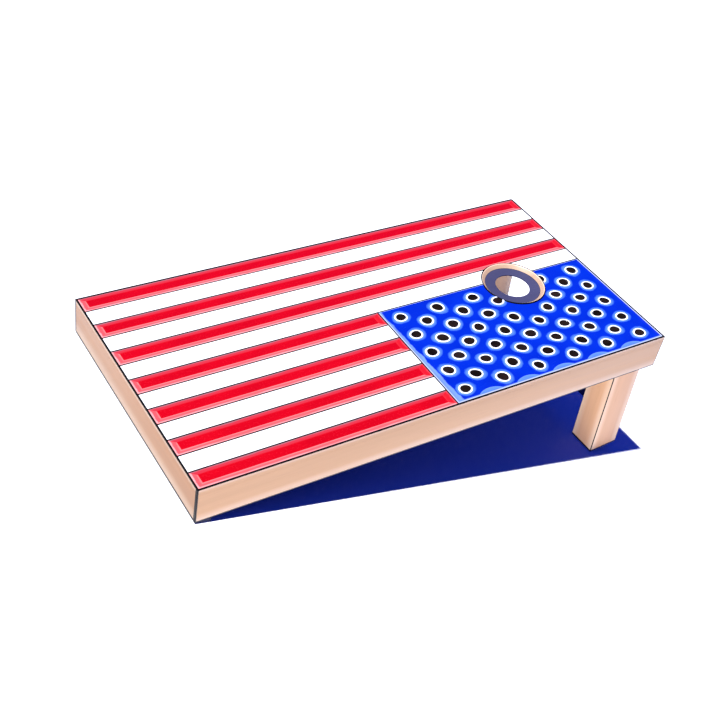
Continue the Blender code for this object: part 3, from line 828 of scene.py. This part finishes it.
def border_mound(shape, centre, floor, count=28):
    """A low cap of paint whose straight side lies along the panel's near border.

    Each level is a share of the cap's size and a height over the floor.
    """
    radius = (MOUND_CHORD ** 2 + MOUND_HEIGHT ** 2) / (2 * MOUND_HEIGHT)
    half = math.asin(MOUND_CHORD / radius)
    levels = ((1.0, -SKIRT_DEPTH), (1.0, 0.0), (0.985, 0.0008), (0.955, 0.0015), (0.915, 0.0017),
              (0.870, 0.0014), (0.800, 0.0010), (0.500, 0.0009), (0.150, 0.0010))
    rows = []
    for share, lift in levels:
        row = []
        for index in range(count + 1):
            angle = half * (2 * index / count - 1)
            along = radius * math.sin(angle)
            across = radius * math.cos(angle) - radius + MOUND_HEIGHT
            corner = (centre[0] - share * along, centre[1] + share * across, floor + lift)
            row.append(shape.verts.new(corner))
        rows.append(row)
    for lower, upper in zip(rows, rows[1:]):
        for index in range(count):
            shape.faces.new((lower[index], lower[index + 1], upper[index + 1], upper[index]))
    shape.faces.new(rows[-1])
    shape.faces.new(rows[0])
    shape.faces.new([row[0] for row in rows] + [row[-1] for row in reversed(rows)])


def make_star_panel():
    """Sunk blue field with rings and border caps; the seat cuts the rings beside the hole."""
    slots = (BLUE, LINE, BLUE_RIM)
    shape = dished(CANTON_LOW, CANTON_HIGH, CANTON_RIM, (CANTON_BEVEL, CANTON_BEVEL),
                   CANTON_BEVEL, TROUGH_DEPTH, ((1, 1, 1, 1), (0, 0, 2, 0), (0, 0, 0, 0)))
    emit("star_field", cut(shape, seat(), 1), slots, ("star_panel",), sharp=8)
    whole = bmesh.new()
    parted = bmesh.new()
    for place, centre in ring_centres():
        star_ring(parted if place in RING_CUT else whole, place, centre)
    floor = SUNK + PAINT_LIFT
    for column in range(1, RING_COLUMNS, 2):
        centre = (RING_FIRST_U + column * RING_PITCH_U, CANTON_LOW.y + CANTON_RIM)
        border_mound(whole, centre, floor)
    # The halo paint, with its painted highlight, also covers the caps along the near border.
    slots = (BLUE_HALO_PAINTED_HIGHLIGHT, RING_WHITE, BLACK)
    emit("star_rings", whole, slots, sharp=60)
    emit("star_rings_at_hole", cut(parted, seat(), 1), slots, sharp=60)


def make_deck_base():
    """Plywood base: black on top, where it shows in the grooves, and navy below as painted shade."""
    low, high = span("deck_base", BOARD)
    shape = cut(round_edges(box(low, high), 0.0004, 1), seat(), 1)
    paint_faces(shape, 1, lambda normal: normal.z < -0.9)
    emit("plywood_base", shape, (LINE, NAVY_SHADE_PAINT), ("deck_base",))


def make_hole():
    """Bevelled wood collar over a navy ring with a narrower bore; the ring's navy is painted shade inside the
    hole.
    """
    low, high = span("hole_collar", BOARD)
    outer = (high.x - low.x) / 2
    foot = low.z
    inner = COLLAR_FOOT_R
    profile = [
        (outer, foot), (outer, TOP - 0.0006), (outer - 0.0003, TOP - 0.0001), (outer - 0.0012, TOP),
        (outer - 0.0019, TOP - 0.0002), (outer - 0.0032, TOP - 0.0012),
        (inner + 0.0012, foot + 0.0010), (inner + 0.0005, foot + 0.0003), (inner, foot),
    ]
    # Marks per step: 2 black line, 1 a painted highlight band just inside the crest, 0 tan wood.
    marks = [2, 2, 2, 2, 1, 0, 0, 2, 0]
    shape = turned(profile, 2, (HOLE_U, 0.0), HOLE_SIDES, marks)
    emit("collar", shape, (TAN_COLLAR_PAINTED_SHADE, PALE_HIGHLIGHT, LINE), ("hole_collar",), sharp=28)
    low, high = span("hole_backing_ring", BOARD)
    flange = (high.x - low.x) / 2
    profile = [
        (outer, high.z), (outer, RAIL_DEPTH), (flange - 0.0006, RAIL_DEPTH),
        (flange, RAIL_DEPTH - 0.0006), (flange, low.z + 0.002), (flange - 0.0006, low.z + 0.0006),
        (flange - 0.002, low.z), (THROAT_FOOT_R + 0.001, low.z), (THROAT_FOOT_R, low.z + 0.0004),
        (THROAT_R + 0.0006, high.z - THROAT_LIP - 0.0002), (THROAT_R, high.z - THROAT_LIP + 0.0008),
        (THROAT_R, high.z - 0.0010), (THROAT_R + 0.0003, high.z - 0.0003),
        (THROAT_R + 0.0010, high.z),
    ]
    shape = turned(profile, 2, (HOLE_U, 0.0), HOLE_SIDES)
    emit("backing_ring", shape, (NAVY_RING_SHADE_PAINT,), ("hole_backing_ring",), sharp=35)


# ---- frame ------------------------------------------------------------------------------------
def mitred_outline(end, thick):
    """Plan of a board or strip along one side of the deck, mitred at both ends."""
    back = MITRE_BACKOFF
    if end in ("near", "far"):
        side = -1 if end == "near" else 1
        return [
            (back, side * HALF),
            (LENGTH - back, side * HALF),
            (LENGTH - thick - back, side * (HALF - thick)),
            (thick + back, side * (HALF - thick)),
        ]
    outer = 0.0 if end == "low" else LENGTH
    inner = thick if end == "low" else LENGTH - thick
    return [
        (outer, -HALF + back),
        (outer, HALF - back),
        (inner, HALF - thick - back),
        (inner, -HALF + thick + back),
    ]


def is_outside(middle):
    """A place on the frame's outer faces."""
    return middle.x < 0.001 or middle.x > LENGTH - 0.001 or abs(middle.y) > HALF - 0.0005


def is_corner(middle, along):
    """An upright edge at an outer corner of the frame."""
    return abs(along.z) > 0.9 and is_outside(middle)


def is_lower_arris(middle, along):
    """The outer lower edge of a frame board."""
    return middle.z < 0.001 and abs(along.z) < 0.1 and is_outside(middle)


def make_frame():
    """Mitred boards with rounded lower edges, and the thin strips over the deck's edge."""
    inward = {"near": Vector((0, 1, 0)), "far": Vector((0, -1, 0)),
              "low": Vector((1, 0, 0)), "high": Vector((-1, 0, 0))}
    grains = {"near": TAN_U, "far": TAN_U, "low": TAN_LOW_PAINTED_SHADE, "high": TAN_V}
    for end, grain in grains.items():
        kind = "side" if end in ("near", "far") else "end"
        shape = prism(mitred_outline(end, RAIL_THICK), 2, 0.0, RAIL_DEPTH)
        # Inner and bottom faces in navy: painted shade under the board.
        paint_faces(shape, 1, lambda normal: normal.dot(inward[end]) > 0.9 or normal.z < -0.9)
        round_edges(shape, 0.0020, 3, is_lower_arris, 2)
        round_edges(shape, 0.0015, 2, is_corner, 2)
        emit(f"{end}_{kind}_board", shape, (grain, NAVY_SHADE_PAINT, LINE), (f"{kind}_rail_{end}",))
        low, high = span(f"edge_band_{end}", BOARD)
        thick = high.x - low.x if kind == "end" else high.y - low.y
        shape = prism(mitred_outline(end, thick), 2, low.z, high.z)
        round_edges(shape, 0.0004, 2, lambda middle, along: middle.z > TOP - 0.001, 1)
        paint_faces(shape, 1, lambda normal: normal.z > 0.5 or normal.dot(inward[end]) > 0.9)
        round_edges(shape, 0.0010, 2, is_corner, 1)
        emit(f"{end}_edge_strip", shape, (grain, LINE), (f"edge_band_{end}",))


def make_bracing():
    """Cross brace under the deck, and glue blocks cut back across the low corners."""
    shape = round_edges(box(*span("cross_brace", BOARD)), 0.0015)
    # Navy painted shade on the brace and the glue blocks.
    emit("mid_brace", shape, (NAVY_SHADE_PAINT_ACROSS,), ("cross_brace",))
    for name, side in (("near", -1), ("far", 1)):
        low, high = span(f"corner_block_{name}", BOARD)
        reach = high.x - low.x
        outer = high.y if side > 0 else low.y
        outline = [
            (low.x, outer),
            (low.x + reach, outer),
            (low.x + reach, outer - side * reach * 0.4),
            (low.x + reach * 0.4, outer - side * reach),
            (low.x, outer - side * reach),
        ]
        shape = round_edges(prism(outline, 2, low.z, high.z), 0.001, 2)
        emit(f"glue_block_{name}", shape, (NAVY_SHADE_PAINT,), (f"corner_block_{name}",))


def make_pads():
    """Wedge pads under the low corners, level on the ground, and pads under the legs."""
    for name in ("near", "far"):
        low, high = span(f"low_pad_{name}", BOARD)
        fall = (high.x - low.x) * math.tan(TILT)
        outline = [(low.x, high.z), (high.x, high.z), (high.x, low.z), (low.x, low.z + fall)]
        shape = round_edges(prism(outline, 1, low.y, high.y), 0.0008, 2)
        emit(f"corner_pad_{name}", shape, (RUBBER,), (f"low_pad_{name}",))
        shape = round_edges(box(*span(f"foot_pad_{name}", LEGS)), 0.0007, 2)
        emit(f"leg_pad_{name}", shape, (RUBBER,), (f"foot_pad_{name}",),
             "leg_frame", LEGS)


# ---- legs and pivots --------------------------------------------------------------------------
def make_legs(steps=48):
    """Round-headed posts with a bore for the pivot bolt, and the rail that ties them."""
    for name in ("near", "far"):
        low, high = span(f"leg_{name}", LEGS)
        half = (high.x - low.x) / 2
        outline = [(low.x, low.z), (high.x, low.z)]
        for index in range(steps + 1):
            angle = math.pi * index / steps
            outline.append((HINGE.x + half * math.cos(angle), HINGE.z + half * math.sin(angle)))
        shape = prism(outline, 1, low.y, high.y)
        round_edges(shape, 0.0018, 3, None, 1, angle=60)
        bore = prism(circle(BORE_R, 32, (HINGE.x, HINGE.z)), 1, low.y - 0.01, high.y + 0.01)
        emit(f"wood_leg_{name}", cut(shape, bore, 0), (TAN_LEG, LINE), (f"leg_{name}",),
             "leg_frame", LEGS)
    shape = round_edges(box(*span("leg_rail", LEGS)), 0.003, 3)
    # The leg cross rail in navy painted shade.
    emit("leg_cross_rail", shape, (NAVY_SHADE_PAINT_ACROSS,), ("leg_rail",), "leg_frame", LEGS)


def knob_shape(start, side, full=0.0240, hub=0.0215, count=100):
    """Five-lobed knob with a rounded rim, a hub boss and a shallow cap.

    Each level is a depth from the outer end, a share of the radius and a share of the lobes.
    """
    levels = (
        (0.0, 0.42, 0.0), (0.0, 0.50, 0.0), (0.0035, 0.52, 0.0), (0.0050, 0.92, 1.0),
        (0.0065, 0.985, 1.0), (0.0090, 1.0, 1.0), (0.0150, 1.0, 1.0), (0.0185, 0.965, 1.0),
        (0.0205, 0.90, 1.0), (0.0213, 0.80, 0.9), (0.0214, 0.52, 0.2), (0.0219, 0.48, 0.0),
        (0.0219, 0.34, 0.0), (0.0213, 0.31, 0.0),
    )
    shape = bmesh.new()
    loops = []
    for depth, share, lobes in levels:
        loop = []
        for index in range(count):
            angle = 2 * math.pi * index / count
            lobed = full - 0.0038 * (1 - math.cos(5 * angle)) / 1.4
            radius = share * (lobes * lobed + (1 - lobes) * hub)
            loop.append(shape.verts.new((HINGE.x + radius * math.cos(angle), start - side * depth,
                                         HINGE.z + radius * math.sin(angle))))
        loops.append(loop)
    shape.faces.new(loops[0])
    shape.faces.new(loops[-1])
    for lower, upper in zip(loops, loops[1:]):
        join_loops(shape, lower, upper)
    return shape


def make_washer(name, node, body, soft=0.0003):
    """Zinc washer with softened arrises."""
    low, high = span(node, BOARD)
    radius = (high.x - low.x) / 2
    profile = [
        (BOLT_R + 0.0004, low.y), (radius - soft, low.y), (radius, low.y + soft),
        (radius, high.y - soft), (radius - soft, high.y), (BOLT_R + 0.0004, high.y),
        (BORE_R, high.y - soft), (BORE_R, low.y + soft),
    ]
    shape = turned(profile, 1, (HINGE.x, HINGE.z), 48)
    emit(name, shape, (ZINC,), (node,), body)


def make_pivots():
    """Washers and star knobs of the two leg pivots."""
    for name, side in (("near", -1), ("far", 1)):
        make_washer(f"steel_washer_outer_{name}", f"spacer_washer_{name}", "board")
        make_washer(f"steel_washer_inner_{name}", f"knob_washer_{name}", f"knob_washer_{name}")
        low, high = span(f"star_knob_{name}", BOARD)
        start = high.y if side > 0 else low.y
        emit(f"lobed_knob_{name}", knob_shape(start, side), (PLASTIC,),
             (f"star_knob_{name}",), f"clamp_knob_{name}")


def dress_cad_nodes():
    """Materials for the CAD nodes whose own shape is shown."""
    finishes = {"pivot_bolt": ZINC, "threaded_insert": BRASS, "mitre_key": PLY, "rail_dowel": PLY}
    for name, node in frame["nodes"].items():
        for start, finish in finishes.items():
            if name.startswith(start):
                for slot in node.material_slots:
                    slot.material = finish


# ---- stage ------------------------------------------------------------------------------------
def make_floor(size=12.0):
    """A wide pale ground."""
    shader = Shader("pale_floor", Matrix.Identity(4))
    cloud = shader.noise((0.6, 0.6, 0.6), detail=2)
    colour = shader.ramp(cloud, ((0.3, tint(0.93, 0.93, 0.935)), (0.7, tint(0.96, 0.96, 0.96))))
    shader.finish(colour, 0.7)
    mesh = bpy.data.meshes.new("floor")
    corners = [(-size, -size, 0), (size, -size, 0), (size, size, 0), (-size, size, 0)]
    mesh.from_pydata(corners, [], [(0, 1, 2, 3)])
    mesh.materials.append(shader.material)
    floor = add_object("floor", mesh)


def make_backdrop(radius=20.0):
    """A white dome far round the floor, which lights nothing."""
    shape = bmesh.new()
    bmesh.ops.create_uvsphere(shape, u_segments=48, v_segments=24, radius=radius)
    mesh = bpy.data.meshes.new("backdrop")
    shape.to_mesh(mesh)
    shape.free()
    material = bpy.data.materials.new("backdrop_white")
    material.use_nodes = True
    main = material.node_tree.nodes["Principled BSDF"]
    main.inputs["Base Color"].default_value = tint(0.0, 0.0, 0.0)
    main.inputs["Specular IOR Level"].default_value = 0.0
    main.inputs["Emission Color"].default_value = tint(1.0, 1.0, 1.0)
    main.inputs["Emission Strength"].default_value = 1.0
    mesh.materials.append(material)
    dome = add_object("backdrop", mesh)
    dome.visible_diffuse = False
    dome.visible_glossy = False
    dome.visible_transmission = False
    dome.visible_volume_scatter = False
    dome.visible_shadow = False


def make_sun(name, energy, travel):
    """A distant light that shines along travel."""
    data = bpy.data.lights.new(name, "SUN")
    data.energy = energy
    data.angle = SUN_WIDTH
    light = add_object(name, data)
    light.rotation_euler = Vector(travel).to_track_quat("-Z", "Y").to_euler()
    return light


def make_lights():
    """A high key from beyond the low end, a low fill for the legs and a weak blue surround."""
    make_sun("key", KEY_ENERGY, (math.sin(KEY_LEAN), 0.0, -math.cos(KEY_LEAN)))
    fill = make_sun("leg_fill", FILL_ENERGY, FILL_TRAVEL)
    fill.data.use_shadow = False
    legs = bpy.data.collections.new("lit_by_leg_fill")
    for name in ("wood_leg_near", "wood_leg_far"):
        leg = bpy.data.objects[name]
        leg.visible_diffuse = False
        legs.objects.link(leg)
    fill.light_linking.receiver_collection = legs
    world = bpy.data.worlds.new("studio")
    world.use_nodes = True
    background = world.node_tree.nodes["Background"]
    background.inputs["Color"].default_value = SURROUND
    background.inputs["Strength"].default_value = 1.0
    bpy.context.scene.world = world


def make_camera():
    """Camera on the near low side; its place counts from the deck's near low corner."""
    u, v, w = CAMERA_PLACE
    place = Vector((u, v - HALF, w + TOP))
    turn = BOARD.to_3x3()
    axes = Matrix((turn @ CAMERA_RIGHT, turn @ -CAMERA_DOWN, turn @ -CAMERA_AHEAD)).transposed()
    data = bpy.data.cameras.new("camera")
    data.lens = LENS_MM
    data.sensor_width = 36.0
    data.clip_start = 0.05
    data.clip_end = 60.0
    camera = add_object("camera", data)
    camera.matrix_world = Matrix.Translation(BOARD @ place) @ axes.to_4x4()
    bpy.context.scene.camera = camera


def main():
    """Build every piece and the stage."""
    make_red_slats()
    make_white_slats()
    make_star_panel()
    make_deck_base()
    make_hole()
    make_frame()
    make_bracing()
    make_pads()
    make_legs()
    make_pivots()
    dress_cad_nodes()
    make_floor()
    make_backdrop()
    make_lights()
    make_camera()
    bpy.context.scene.view_settings.view_transform = "Standard"
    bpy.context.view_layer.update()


main()
